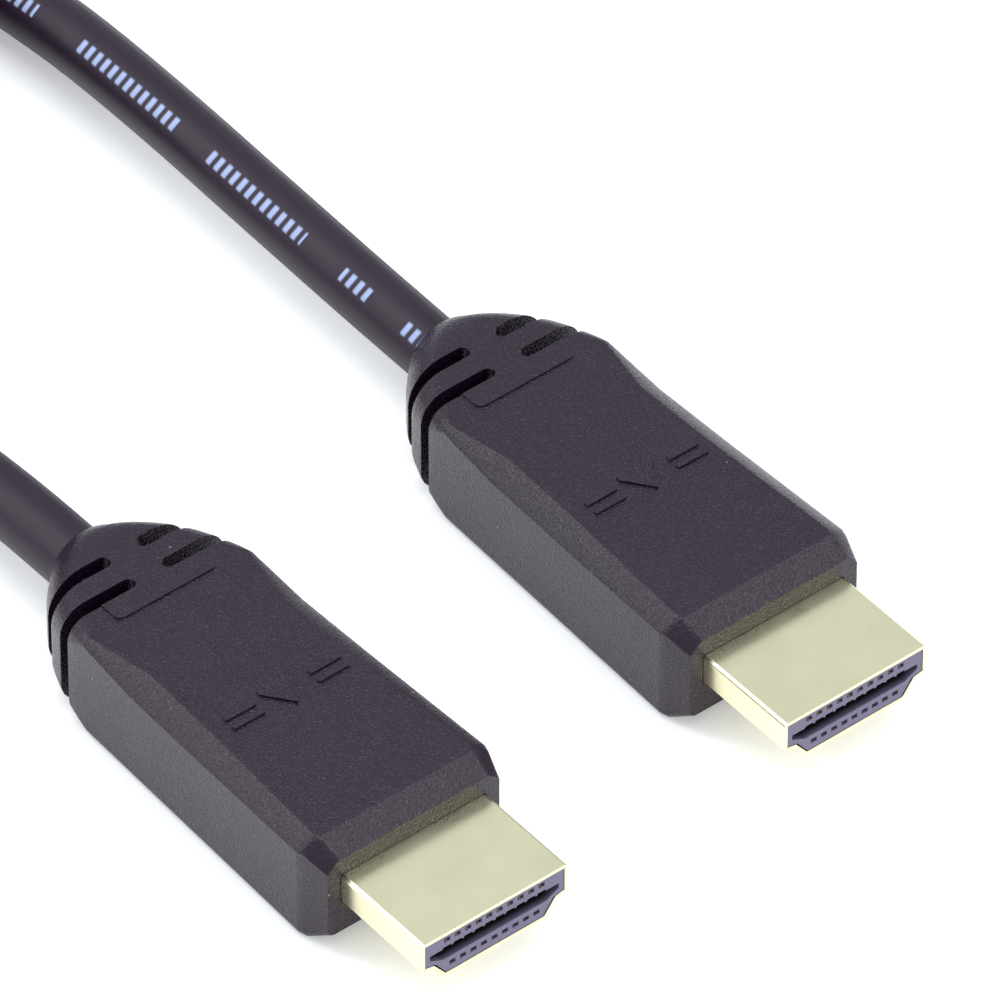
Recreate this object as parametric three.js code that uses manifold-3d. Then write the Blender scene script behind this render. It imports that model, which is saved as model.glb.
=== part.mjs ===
// A display cable: two moulded plugs side by side, joined by one round cable.
// Millimetres, +Z up. The plugs lie on the floor at z = 0 with their tips facing -Y,
// plug b a little ahead, and the origin is on the floor, midway between them and midway along them.
import * as THREE from "three";
import { mergeVertices } from "three/addons/utils/BufferGeometryUtils.js";
import Module from "manifold-3d";

const wasm = await Module();
wasm.setup();

// Layout
const PLUG_PITCH = 35.8;
const PLUG_STAGGER = 1.1;
const FIT_GAP = 0.05;
const MEETING_GAP = 0.3;

// Metal shell: a folded tube whose lower corners step in and slant to a narrower floor
const SHELL_WIDTH = 13.9;
const SHELL_HEIGHT = 4.45;
const SHELL_SIDE_HEIGHT = 2.78;
const SHELL_STEP = 1.0;
const SHELL_STEP_DROP = 0.23;
const SHELL_FLOOR_WIDTH = 9.7;
const SHELL_WALL = 0.3;
const SHELL_REACH = 9.6;
const SHELL_SEAT_DEPTH = 2.4;

// Contact carrier inside the shell
const CARRIER_RECESS = 0.05;
const TONGUE_SLOT_WIDTH = 12.2;
const TONGUE_SLOT_FLOOR_WIDTH = 9.8;
const TONGUE_SLOT_TOP_ABOVE_AXIS = 0.6;
const TONGUE_SLOT_HEIGHT = 1.08;
const TONGUE_SLOT_END_HEIGHT = 0.5;
const TONGUE_SLOT_DEPTH = 6;
const CHANNEL_HEIGHT = 0.2;
const CONTACT_PITCH = 1;
const UPPER_CONTACTS = 10;
const LOWER_CONTACTS = 9;
const UPPER_ROW_ABOVE_AXIS = 1.42;
const LOWER_ROW_BELOW_AXIS = 1.14;
const CONTACT_OPENING_WIDTH = 0.58;
const CONTACT_OPENING_HEIGHT = 0.4;
const CONTACT_WIDTH = 0.36;
const CONTACT_HEIGHT = 0.2;
const CONTACT_LENGTH = 5;
const UPPER_CONTACT_RECESS = 0.1;
const LOWER_CONTACT_RECESS = 0.5;

// Overmould: the grip block
const BLOCK_HEIGHT = 9.8;
const BLOCK_FRONT_WIDTH = 18;
const BLOCK_REAR_WIDTH = 16.3;
const BLOCK_LENGTH = 29.6;
const NOSE_WIDTH = 16.4;
const NOSE_HEIGHT = 7.6;
const NOSE_LENGTH = 2.05;
const NOSE_BEVEL_SHARE = 0.6;
const EDGE_BEVEL_WIDTH = 1.6;
const EDGE_BEVEL_HEIGHT = 1.1;
const EDGE_BEVEL_BULGE = 0.2;
const REAR_BEVEL = 0.5;
const LOWER_EDGE_ROUND = 0.7;
const CORNER_STEPS = 4;

// Overmould: the strain relief, which tapers from the block to the cable
const RELIEF_LENGTH = 10.8;
const RELIEF_LIP = 0.25;
const RELIEF_RINGS = 8;
const RELIEF_WIDTH_POWER = 2.5;
const RELIEF_WIDTH_CLOSING = 1.1;
const RELIEF_HEIGHT_POWER = 8;
const RELIEF_HEIGHT_CLOSING = 0.6;
const RELIEF_ROUND = 4.2;
const RELIEF_LOWER_FLATTENING = 0.5;
const RELIEF_CORNER_SHARE = 0.999;
const RELIEF_SLOTS = [2.7, 5.8];
const RELIEF_SLOT_WIDTH = 1;
const RELIEF_SPINE_LEFT = 1.15;
const RELIEF_SPINE_RIGHT = 1.55;
const RELIEF_CORE_DIAMETER = 6.6;
const RELIEF_CORE_SIDES = 24;

// Cable
const CABLE_DIAMETER = 5.5;
const CABLE_SIDES = 10;
const COIL_TURN_SPACING = 5.55;
const COIL_LAYER_TURNS = 10 / 3;
const COIL_LAYERS = 2;
const COIL_INNER_TURN_RADIUS = 22.6;
const COIL_CENTRE_Y = 102.05;
const COIL_EDGE_ROUND = 2.4;
const COIL_EDGE_STEPS = 4;
const COIL_SIDES = 48;

// Tie round the coil
const TIE_WIDTH = 8;
const TIE_THICKNESS = 0.8;

// How far a cutter reaches past the faces that it cuts
const CUT_MARGIN = 1;

const AXIS_HEIGHT = BLOCK_HEIGHT / 2;
const CABLE_RADIUS = CABLE_DIAMETER / 2;
const BLOCK_REAR = SHELL_REACH + BLOCK_LENGTH;
const PLUG_LENGTH = BLOCK_REAR + RELIEF_LENGTH;
const PLUG_X = PLUG_PITCH / 2;
const CABLE_START_Y = PLUG_LENGTH / 2;
const COIL_OUTER_TURN_RADIUS = COIL_INNER_TURN_RADIUS + COIL_LAYER_TURNS * COIL_TURN_SPACING;
const COIL_CENTRE_X = PLUG_X - COIL_OUTER_TURN_RADIUS;
const COIL_INSIDE = COIL_INNER_TURN_RADIUS - CABLE_RADIUS;
const COIL_OUTSIDE = COIL_OUTER_TURN_RADIUS + CABLE_RADIUS;
const COIL_HEIGHT = COIL_LAYERS * CABLE_DIAMETER;

// Route of the cable from the upper plug to the coil
const LEAD_A_ROUTE = [
  [PLUG_X, CABLE_START_Y + PLUG_STAGGER / 2 + MEETING_GAP, AXIS_HEIGHT],
  [PLUG_X + 0.15, 35.5, AXIS_HEIGHT],
  [PLUG_X + 0.45, 48.5, AXIS_HEIGHT],
  [PLUG_X + 0.8, 60.5, 4.8],
  [PLUG_X + 0.95, 72.5, 4.4],
  [PLUG_X + 0.7, 82.5, 3.6],
  [PLUG_X + 0.25, 91.5, 3],
  [PLUG_X, COIL_CENTRE_Y, CABLE_RADIUS],
];

// Route of the cable from the lower plug to the coil, which it leaves over its upper layer
const LEAD_B_ROUTE = [
  [-PLUG_X, CABLE_START_Y - PLUG_STAGGER / 2 + MEETING_GAP, AXIS_HEIGHT],
  [-PLUG_X, 30.5, 4.8],
  [-17.95, 35, 4.6],
  [-18.3, 40.5, 4.4],
  [-19.7, 45.2, 4.4],
  [-21.9, 49.5, 4.6],
  [-24.9, 53.5, 5],
  [-28.5, 57.1, 5.7],
  [-32.7, 60, 6.4],
  [-37.9, 62.9, 7.4],
  [-44, 66.46, COIL_HEIGHT - CABLE_RADIUS],
];

const MATERIALS = {
  overmould: { color: 0x2f2a33, roughness: 0.6, metalness: 0 },
  shell: { color: 0xe6d9a6, roughness: 0.25, metalness: 1 },
  carrier: { color: 0x6e6a80, roughness: 0.5, metalness: 0 },
  contact: { color: 0xe0b050, roughness: 0.3, metalness: 1 },
  cable: { color: 0x2c2530, roughness: 0.35, metalness: 0 },
  tie: { color: 0x26242a, roughness: 0.7, metalness: 0 },
};

function piece(name, geometry, finish) {
  const mesh = new THREE.Mesh(geometry, new THREE.MeshStandardMaterial(MATERIALS[finish]));
  mesh.name = name;
  return mesh;
}

// Booleans
function solidOf(geometry) {
  const bare = geometry.clone();
  bare.deleteAttribute("normal");
  bare.deleteAttribute("uv");
  const merged = mergeVertices(bare, 1e-4);
  return new wasm.Manifold(
    new wasm.Mesh({
      numProp: 3,
      vertProperties: new Float32Array(merged.attributes.position.array),
      triVerts: new Uint32Array(merged.index.array),
    }),
  );
}

function geometryOf(solid) {
  const mesh = solid.getMesh();
  const geometry = new THREE.BufferGeometry();
  geometry.setAttribute("position", new THREE.BufferAttribute(mesh.vertProperties, 3));
  geometry.setIndex(new THREE.BufferAttribute(mesh.triVerts, 1));
  geometry.computeVertexNormals();
  return geometry;
}

function boxSolid(minimum, maximum) {
  const size = maximum.map((value, axis) => value - minimum[axis]);
  const centre = maximum.map((value, axis) => (value + minimum[axis]) / 2);
  return solidOf(new THREE.BoxGeometry(...size).translate(...centre));
}

// Extrudes an outline drawn in x and z along y.
function extrudeAlongY(outline, from, to) {
  const geometry = new THREE.ExtrudeGeometry(outline, { depth: to - from, bevelEnabled: false });
  return geometry.rotateX(Math.PI / 2).translate(0, to, 0);
}

// Shell outline round the plug's axis, grown or shrunk all round by an offset
function shellOutline(offset) {
  const half = SHELL_WIDTH / 2;
  const top = SHELL_HEIGHT / 2;
  const right = [
    [half, top],
    [half, top - SHELL_SIDE_HEIGHT],
    [half - SHELL_STEP, top - SHELL_SIDE_HEIGHT - SHELL_STEP_DROP],
    [SHELL_FLOOR_WIDTH / 2, -top],
  ];
  const left = right.map(([x, z]) => [-x, z]).reverse();
  const corners = [...right, ...left].map(([x, z]) => new THREE.Vector2(x, z));
  const grown = corners.map((corner, index) => {
    const before = corners[(index + corners.length - 1) % corners.length];
    const after = corners[(index + 1) % corners.length];
    const arriving = corner.clone().sub(before).normalize();
    const leaving = after.clone().sub(corner).normalize();
    const outwards = new THREE.Vector2(-arriving.y - leaving.y, arriving.x + leaving.x).normalize();
    const share = outwards.dot(new THREE.Vector2(-arriving.y, arriving.x));
    return corner.clone().addScaledVector(outwards, offset / share);
  });
  return new THREE.Shape(grown);
}

function makeShell() {
  const outline = shellOutline(0);
  outline.holes.push(new THREE.Path(shellOutline(-SHELL_WALL).getPoints().reverse()));
  return extrudeAlongY(outline, 0, SHELL_REACH + SHELL_SEAT_DEPTH).translate(0, 0, AXIS_HEIGHT);
}

// Places of the contact openings. Upper contacts lie on the floor of their openings
// and lower ones against the roof of theirs, next to the slot in both rows.
function contactPlaces() {
  const rows = [
    {
      count: UPPER_CONTACTS,
      z: AXIS_HEIGHT + UPPER_ROW_ABOVE_AXIS,
      seat: -1,
      recess: UPPER_CONTACT_RECESS,
    },
    {
      count: LOWER_CONTACTS,
      z: AXIS_HEIGHT - LOWER_ROW_BELOW_AXIS,
      seat: 1,
      recess: LOWER_CONTACT_RECESS,
    },
  ];
  return rows.flatMap(({ count, ...row }) =>
    Array.from({ length: count }, (_, index) => ({ x: (index - (count - 1) / 2) * CONTACT_PITCH, ...row })),
  );
}

// Slot for the socket's tongue: level above, with ends that slant in to a narrower floor
function tongueSlot() {
  const top = TONGUE_SLOT_TOP_ABOVE_AXIS;
  const right = [
    [TONGUE_SLOT_WIDTH / 2, top],
    [TONGUE_SLOT_WIDTH / 2, top - TONGUE_SLOT_END_HEIGHT],
    [TONGUE_SLOT_FLOOR_WIDTH / 2, top - TONGUE_SLOT_HEIGHT],
  ];
  const left = right.map(([x, z]) => [-x, z]).reverse();
  const outline = new THREE.Shape([...right, ...left].map(([x, z]) => new THREE.Vector2(x, z)));
  const slot = extrudeAlongY(outline, -CUT_MARGIN, CARRIER_RECESS + TONGUE_SLOT_DEPTH);
  return solidOf(slot.translate(0, 0, AXIS_HEIGHT));
}

function makeCarrier() {
  const back = SHELL_REACH + SHELL_SEAT_DEPTH;
  const outline = shellOutline(-SHELL_WALL - FIT_GAP);
  let carrier = solidOf(extrudeAlongY(outline, CARRIER_RECESS, back).translate(0, 0, AXIS_HEIGHT));
  carrier = carrier.subtract(tongueSlot());
  const half = CONTACT_OPENING_WIDTH / 2;
  for (const { x, z, seat, recess } of contactPlaces()) {
    const opening = boxSolid(
      [x - half, -CUT_MARGIN, z - CONTACT_OPENING_HEIGHT / 2],
      [x + half, CARRIER_RECESS + recess + CONTACT_LENGTH, z + CONTACT_OPENING_HEIGHT / 2],
    );
    carrier = carrier.subtract(opening);
    if (seat < 0) {
      const slotTop = AXIS_HEIGHT + TONGUE_SLOT_TOP_ABOVE_AXIS;
      const channel = boxSolid(
        [x - half, -CUT_MARGIN, slotTop - CHANNEL_HEIGHT],
        [x + half, CARRIER_RECESS + TONGUE_SLOT_DEPTH, slotTop + CHANNEL_HEIGHT],
      );
      carrier = carrier.subtract(channel);
    }
  }
  return geometryOf(carrier);
}

function makeContact({ x, z, seat, recess }) {
  const front = CARRIER_RECESS + recess;
  const middle = z + (seat * (CONTACT_OPENING_HEIGHT - CONTACT_HEIGHT)) / 2;
  const bar = new THREE.BoxGeometry(CONTACT_WIDTH, CONTACT_LENGTH, CONTACT_HEIGHT);
  return bar.translate(x, front + CONTACT_LENGTH / 2, middle);
}

// One ring of the overmould: a rectangle whose corners are cut or rounded.
// A bulge of 0 gives a straight bevel and a bulge of 1 a quarter ellipse.
function sectionRing({ y, halfWidth, halfHeight, upper, lower }) {
  const quarters = [
    { sideX: 1, sideZ: 1, from: 0, corner: upper },
    { sideX: -1, sideZ: 1, from: Math.PI / 2, corner: upper },
    { sideX: -1, sideZ: -1, from: Math.PI, corner: lower },
    { sideX: 1, sideZ: -1, from: (3 * Math.PI) / 2, corner: lower },
  ];
  return quarters.flatMap(({ sideX, sideZ, from, corner }) => {
    const centreX = sideX * (halfWidth - corner.width);
    const centreZ = AXIS_HEIGHT + sideZ * (halfHeight - corner.height);
    const onArc = (angle) =>
      new THREE.Vector2(corner.width * Math.cos(angle), corner.height * Math.sin(angle));
    const first = onArc(from);
    const last = onArc(from + Math.PI / 2);
    return Array.from({ length: CORNER_STEPS + 1 }, (_, step) => {
      const share = step / CORNER_STEPS;
      const straight = first.clone().lerp(last, share);
      const point = straight.lerp(onArc(from + (share * Math.PI) / 2), corner.bulge);
      return new THREE.Vector3(centreX + point.x, y, centreZ + point.y);
    });
  });
}

// Joins rings of equal length into one closed skin with flat ends.
function loft(rings) {
  const count = rings[0].length;
  const positions = rings.flat().flatMap((point) => point.toArray());
  const faces = [];
  for (let ring = 0; ring < rings.length - 1; ring += 1) {
    for (let step = 0; step < count; step += 1) {
      const here = ring * count + step;
      const next = ring * count + ((step + 1) % count);
      faces.push(here, here + count, next, next, here + count, next + count);
    }
  }
  const lastRing = (rings.length - 1) * count;
  for (let step = 1; step < count - 1; step += 1) {
    faces.push(0, step, step + 1);
    faces.push(lastRing, lastRing + step + 1, lastRing + step);
  }
  const geometry = new THREE.BufferGeometry();
  geometry.setAttribute("position", new THREE.Float32BufferAttribute(positions, 3));
  geometry.setIndex(faces);
  return geometry;
}

// The nose slants out to the block all round, and the block narrows to the rear.
function blockSections() {
  const lower = { width: LOWER_EDGE_ROUND, height: LOWER_EDGE_ROUND, bulge: 1 };
  const upper = (width, height) => ({ width, height, bulge: EDGE_BEVEL_BULGE });
  return [
    {
      y: SHELL_REACH,
      halfWidth: NOSE_WIDTH / 2,
      halfHeight: NOSE_HEIGHT / 2,
      upper: upper(EDGE_BEVEL_WIDTH * NOSE_BEVEL_SHARE, EDGE_BEVEL_HEIGHT * NOSE_BEVEL_SHARE),
      lower,
    },
    {
      y: SHELL_REACH + NOSE_LENGTH,
      halfWidth: BLOCK_FRONT_WIDTH / 2,
      halfHeight: BLOCK_HEIGHT / 2,
      upper: upper(EDGE_BEVEL_WIDTH, EDGE_BEVEL_HEIGHT),
      lower,
    },
    {
      y: BLOCK_REAR,
      halfWidth: BLOCK_REAR_WIDTH / 2,
      halfHeight: BLOCK_HEIGHT / 2,
      upper: upper(REAR_BEVEL, REAR_BEVEL),
      lower,
    },
  ];
}

// The relief keeps its width and height at first and closes on the cable in a blunt end.
function reliefSections() {
  const mix = THREE.MathUtils.lerp;
  const end = CABLE_RADIUS + RELIEF_LIP;
  return Array.from({ length: RELIEF_RINGS }, (_, index) => {
    const along = Math.sin((((index + 1) / RELIEF_RINGS) * Math.PI) / 2);
    const wide = (1 - along ** RELIEF_WIDTH_POWER) ** RELIEF_WIDTH_CLOSING;
    const tall = (1 - along ** RELIEF_HEIGHT_POWER) ** RELIEF_HEIGHT_CLOSING;
    const halfWidth = mix(end, BLOCK_REAR_WIDTH / 2, wide);
    const halfHeight = mix(end, BLOCK_HEIGHT / 2, tall);
    const largest = RELIEF_CORNER_SHARE * Math.min(halfWidth, halfHeight);
    const corner = Math.min(RELIEF_ROUND * Math.sqrt(along), largest);
    const upper = { width: corner, height: corner, bulge: 1 };
    const lower = { width: corner, height: corner, bulge: 1 - RELIEF_LOWER_FLATTENING * along };
    return { y: BLOCK_REAR + RELIEF_LENGTH * along, halfWidth, halfHeight, upper, lower };
  });
}

function makeOvermould() {
  const rings = [...blockSections(), ...reliefSections()].map(sectionRing);
  let body = solidOf(loft(rings));
  const pocketOutline = shellOutline(FIT_GAP);
  const pocketBack = SHELL_REACH + SHELL_SEAT_DEPTH + FIT_GAP;
  const pocket = extrudeAlongY(pocketOutline, 0, pocketBack).translate(0, 0, AXIS_HEIGHT);
  body = body.subtract(solidOf(pocket));
  const spine = boxSolid(
    [-RELIEF_SPINE_LEFT, BLOCK_REAR, -CUT_MARGIN],
    [RELIEF_SPINE_RIGHT, PLUG_LENGTH, BLOCK_HEIGHT + CUT_MARGIN],
  );
  const core = new THREE.CylinderGeometry(
    RELIEF_CORE_DIAMETER / 2,
    RELIEF_CORE_DIAMETER / 2,
    RELIEF_LENGTH,
    RELIEF_CORE_SIDES,
  ).translate(0, BLOCK_REAR + RELIEF_LENGTH / 2, AXIS_HEIGHT);
  const kept = spine.add(solidOf(core));
  for (const distance of RELIEF_SLOTS) {
    const front = BLOCK_REAR + distance - RELIEF_SLOT_WIDTH / 2;
    const slab = boxSolid(
      [-BLOCK_FRONT_WIDTH, front, -CUT_MARGIN],
      [BLOCK_FRONT_WIDTH, front + RELIEF_SLOT_WIDTH, BLOCK_HEIGHT + CUT_MARGIN],
    );
    body = body.subtract(slab.subtract(kept));
  }
  return geometryOf(body);
}

function makePlug(side, x, ahead) {
  const plug = new THREE.Group();
  plug.position.set(x, -PLUG_LENGTH / 2 - ahead, 0);
  plug.add(piece(`plug_${side}_overmould`, makeOvermould(), "overmould"));
  plug.add(piece(`plug_${side}_shell`, makeShell(), "shell"));
  plug.add(piece(`plug_${side}_contact_carrier`, makeCarrier(), "carrier"));
  contactPlaces().forEach((place, index) => {
    const number = String(index + 1).padStart(2, "0");
    plug.add(piece(`plug_${side}_contact_${number}`, makeContact(place), "contact"));
  });
  return plug;
}

// Coil: the outer shape of its turns, with a groove below that the tie passes through
function coilRing() {
  const profile = new THREE.Shape();
  const round = COIL_EDGE_ROUND;
  profile.moveTo(COIL_INSIDE + round, 0);
  profile.lineTo(COIL_OUTSIDE - round, 0);
  profile.absarc(COIL_OUTSIDE - round, round, round, -Math.PI / 2, 0);
  profile.lineTo(COIL_OUTSIDE, COIL_HEIGHT - round);
  profile.absarc(COIL_OUTSIDE - round, COIL_HEIGHT - round, round, 0, Math.PI / 2);
  profile.lineTo(COIL_INSIDE + round, COIL_HEIGHT);
  profile.absarc(COIL_INSIDE + round, COIL_HEIGHT - round, round, Math.PI / 2, Math.PI);
  profile.lineTo(COIL_INSIDE, round);
  profile.absarc(COIL_INSIDE + round, round, round, Math.PI, (3 * Math.PI) / 2);
  const points = profile.getPoints(COIL_EDGE_STEPS);
  return new THREE.LatheGeometry(points, COIL_SIDES).rotateX(Math.PI / 2);
}

function makeCoil() {
  const ring = solidOf(coilRing().translate(COIL_CENTRE_X, COIL_CENTRE_Y, 0));
  const groove = boxSolid(
    [COIL_CENTRE_X - TIE_WIDTH / 2 - MEETING_GAP, COIL_CENTRE_Y, -CUT_MARGIN],
    [
      COIL_CENTRE_X + TIE_WIDTH / 2 + MEETING_GAP,
      COIL_CENTRE_Y + COIL_OUTSIDE + CUT_MARGIN,
      TIE_THICKNESS + MEETING_GAP,
    ],
  );
  return geometryOf(ring.subtract(groove));
}

// Tie: one flat band that runs under the coil, up both its sides and over it
function makeTie() {
  const near = Math.sqrt(COIL_INSIDE ** 2 - (TIE_WIDTH / 2) ** 2) - MEETING_GAP;
  const far = COIL_OUTSIDE + MEETING_GAP;
  const low = TIE_THICKNESS;
  const high = COIL_HEIGHT + MEETING_GAP;
  const loopOutline = (thickness) => {
    const points = [
      [near - thickness, low - thickness],
      [far + thickness, low - thickness],
      [far + thickness, high + thickness],
      [near - thickness, high + thickness],
    ];
    return points.map(([across, up]) => new THREE.Vector2(across, up));
  };
  const band = new THREE.Shape(loopOutline(TIE_THICKNESS));
  band.holes.push(new THREE.Path(loopOutline(0).reverse()));
  const geometry = new THREE.ExtrudeGeometry(band, { depth: TIE_WIDTH, bevelEnabled: false });
  geometry.translate(0, 0, -TIE_WIDTH / 2).rotateX(Math.PI / 2).rotateZ(Math.PI / 2);
  return geometry.translate(COIL_CENTRE_X, COIL_CENTRE_Y, 0);
}

// Lead: the stretch of cable from a plug's relief to the coil, cut where it joins the coil
function makeLead(route) {
  const section = new THREE.Shape();
  section.absarc(0, 0, CABLE_RADIUS, 0, 2 * Math.PI);
  const sectionPoints = section.getSpacedPoints(CABLE_SIDES).slice(0, CABLE_SIDES);
  const curve = new THREE.CatmullRomCurve3(route.map((point) => new THREE.Vector3(...point)));
  const steps = Math.ceil(curve.getLength() / (2 * CABLE_DIAMETER));
  const tube = new THREE.ExtrudeGeometry(new THREE.Shape(sectionPoints), {
    steps,
    extrudePath: curve,
  });
  const clear = new THREE.CylinderGeometry(
    COIL_OUTSIDE + MEETING_GAP,
    COIL_OUTSIDE + MEETING_GAP,
    4 * COIL_HEIGHT,
    2 * COIL_SIDES,
  );
  clear.rotateX(Math.PI / 2).translate(COIL_CENTRE_X, COIL_CENTRE_Y, 0);
  return geometryOf(solidOf(tube).subtract(solidOf(clear)));
}

const cable = new THREE.Group();
cable.add(makePlug("a", PLUG_X, -PLUG_STAGGER / 2));
cable.add(makePlug("b", -PLUG_X, PLUG_STAGGER / 2));
cable.add(piece("cable_lead_a", makeLead(LEAD_A_ROUTE), "cable"));
cable.add(piece("cable_lead_b", makeLead(LEAD_B_ROUTE), "cable"));
cable.add(piece("cable_coil", makeCoil(), "cable"));
cable.add(piece("coil_tie", makeTie(), "tie"));

export default cable;
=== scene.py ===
import math

import bmesh
import bpy
from mathutils import Matrix, Vector


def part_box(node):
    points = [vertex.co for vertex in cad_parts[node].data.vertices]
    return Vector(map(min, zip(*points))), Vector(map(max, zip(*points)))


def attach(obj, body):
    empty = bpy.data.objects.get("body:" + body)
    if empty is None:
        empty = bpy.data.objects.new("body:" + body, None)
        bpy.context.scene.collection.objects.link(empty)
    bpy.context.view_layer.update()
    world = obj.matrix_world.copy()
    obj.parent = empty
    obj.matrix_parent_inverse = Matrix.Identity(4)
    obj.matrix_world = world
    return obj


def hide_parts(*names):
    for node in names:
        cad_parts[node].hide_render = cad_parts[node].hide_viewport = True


bl_info = {
    "name": "Display Cable",
    "version": (1, 0, 0),
    "blender": (4, 5, 0),
    "location": "View3D > Sidebar > Cable",
    "description": "Models a round cable with a moulded plug at each end",
    "category": "Object",
}

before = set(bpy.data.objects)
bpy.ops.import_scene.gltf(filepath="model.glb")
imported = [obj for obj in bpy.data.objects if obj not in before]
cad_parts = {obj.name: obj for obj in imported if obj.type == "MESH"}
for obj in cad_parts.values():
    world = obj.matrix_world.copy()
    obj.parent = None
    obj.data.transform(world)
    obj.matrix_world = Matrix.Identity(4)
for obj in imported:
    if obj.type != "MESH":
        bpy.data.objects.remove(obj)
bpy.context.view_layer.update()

# Places taken from the frame, in metres
SHELL_LOW, SHELL_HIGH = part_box("plug_a_shell")
MOULDING_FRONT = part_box("plug_a_overmould")[0].y
CARRIER_LOW, CARRIER_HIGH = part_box("plug_a_contact_carrier")
PLUG_AXIS = (SHELL_LOW + SHELL_HIGH) / 2
PLUG_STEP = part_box("plug_b_shell")[0] - SHELL_LOW
TIP_Y = SHELL_LOW.y
MM = 0.001
UPPER_CONTACTS = 10
LOWER_CONTACTS = 9
CONTACT_NUMBERS = [f"{number:02d}" for number in range(1, UPPER_CONTACTS + LOWER_CONTACTS + 1)]


def length(name, description, millimetres):
    return bpy.props.FloatProperty(
        name=name, description=description, default=millimetres * MM, unit="LENGTH", precision=5
    )


def colour(name, description, value):
    return bpy.props.FloatVectorProperty(
        name=name, description=description, default=value, subtype="COLOR", min=0, max=1
    )


class MouldingSizes(bpy.types.PropertyGroup):
    nose_width: length("Nose width", "Width of the moulding's front face", 16.4)
    nose_height: length("Nose height", "Height of the moulding's front face", 7.5)
    nose_length: length("Nose length", "Length over which the nose slants out to the block", 2.05)
    nose_lift: length("Nose lift", "How far the front face sits above the plug's axis", 0.15)
    corner_length: length("Corner length", "Length over which the nose reaches the block's sides", 2.75)
    front_width: length("Front width", "Width of the grip block behind its nose", 18)
    rear_width: length("Rear width", "Width of the grip block where the relief starts", 16.3)
    height: length("Height", "Height of the grip block", 9.8)
    block_length: length("Block length", "Length of the grip block", 29.6)
    edge_width: length("Edge width", "Width of the bevel along the upper edges", 1.55)
    edge_height: length("Edge height", "Height of the bevel along the upper edges", 1.05)
    relief_length: length("Relief length", "Length of the slotted strain relief", 10.8)
    slot_width: length("Slot width", "Width of the slots in the strain relief", 1.2)
    tab_height: length("Tab height", "Height of the pad ahead of the slots", 0.13)
    mark_height: length("Mark height", "Height of the raised chevron and bars", 0.16)


class ShellSizes(bpy.types.PropertyGroup):
    wall: length("Wall", "Thickness of the folded sheet", 0.3)
    fold_radius: length("Fold radius", "Outside radius of the folds", 0.35)
    side_height: length("Side height", "Height of the upright sides", 2.78)
    step_width: length("Step width", "How far the corners step in below the sides", 1.0)
    step_drop: length("Step drop", "How far the step slopes down", 0.23)
    floor_width: length("Floor width", "Width of the narrow lower face", 9.7)


class CordSizes(bpy.types.PropertyGroup):
    diameter: length("Diameter", "Diameter of the jacket", 5.5)
    length: length("Length", "Length of the cable between the plugs", 1500)
    turn_spacing: length("Turn spacing", "Distance between turns of the coil", 5.55)
    inner_turn: length("Inner turn", "Radius of the coil's smallest turn", 22.6)
    strap_width: length("Strap width", "Width of the strap that holds the coil", 8)
    strap_thickness: length("Strap thickness", "Thickness of the strap", 0.45)


class Finishes(bpy.types.PropertyGroup):
    moulding: colour("Moulding", "Soft plastic of the mouldings", (0.012, 0.0025, 0.0135))
    plate: colour("Shell plating", "Pale gold plating of the shells", (0.94, 0.88, 0.59))
    insulator: colour("Insulator", "Plastic that holds the contacts", (0.16, 0.14, 0.22))
    contact: colour("Contact plating", "Gold on the contacts", (0.95, 0.66, 0.28))
    jacket: colour("Jacket", "Plastic jacket of the cable", (0.0135, 0.004, 0.015))
    ink: colour("Ink", "Length marks on the jacket", (0.43, 0.52, 0.83))
    strap: colour("Strap", "Woven strap round the coil", (0.02, 0.018, 0.022))
    floor: colour("Floor", "Floor under the cable", (0.9, 0.9, 0.9))


# Modelling helpers


def pick(piece):
    """Selects one object alone and makes it active."""
    bpy.ops.object.select_all(action="DESELECT")
    piece.select_set(True)
    bpy.context.view_layer.objects.active = piece


def choose(kind, test):
    """Selects the parts of the mesh in edit mode that pass a test, and nothing else."""
    bpy.ops.mesh.select_mode(type=kind)
    bpy.ops.mesh.select_all(action="DESELECT")
    mesh = bpy.context.edit_object.data
    shape = bmesh.from_edit_mesh(mesh)
    parts = {"VERT": shape.verts, "EDGE": shape.edges, "FACE": shape.faces}[kind]
    found = 0
    for part in parts:
        if test(part):
            part.select_set(True)
            found += 1
    if not found:
        raise RuntimeError(f"nothing to select on {bpy.context.edit_object.name}")
    shape.select_flush_mode()
    bmesh.update_edit_mesh(mesh)


def middle(part):
    """Middle of an edge or a face."""
    return sum((vertex.co for vertex in part.verts), Vector()) / len(part.verts)


def runs_along(edge, axis):
    """Whether an edge runs along one axis."""
    run = edge.verts[0].co - edge.verts[1].co
    return abs(run[axis]) > 0.9 * run.length


def block(name, low, high):
    """A cube between two corners, its object left at the origin."""
    low, high = Vector(low), Vector(high)
    bpy.ops.object.select_all(action="DESELECT")
    bpy.ops.mesh.primitive_cube_add(size=1, location=(low + high) / 2)
    made = bpy.context.object
    made.name = made.data.name = name
    made.scale = high - low
    bpy.ops.object.transform_apply(location=True, rotation=True, scale=True)
    return made


def more_block(low, high):
    """One more cube between two corners, in the mesh that is in edit mode."""
    low, high = Vector(low), Vector(high)
    centre = (low + high) / 2
    bpy.ops.mesh.select_all(action="DESELECT")
    bpy.ops.mesh.primitive_cube_add(size=1, location=centre)
    bpy.ops.transform.resize(value=high - low, center_override=centre)


def round_edges(width, segments):
    """Rounds the selected edges of the mesh in edit mode."""
    bpy.ops.mesh.bevel(
        offset_type="OFFSET", offset=width, segments=segments, profile=0.5, affect="EDGES"
    )


def edit(piece):
    pick(piece)
    bpy.ops.object.mode_set(mode="EDIT")
    bpy.ops.mesh.select_mode(type="VERT")


def leave_edit():
    bpy.ops.object.mode_set(mode="OBJECT")


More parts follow.
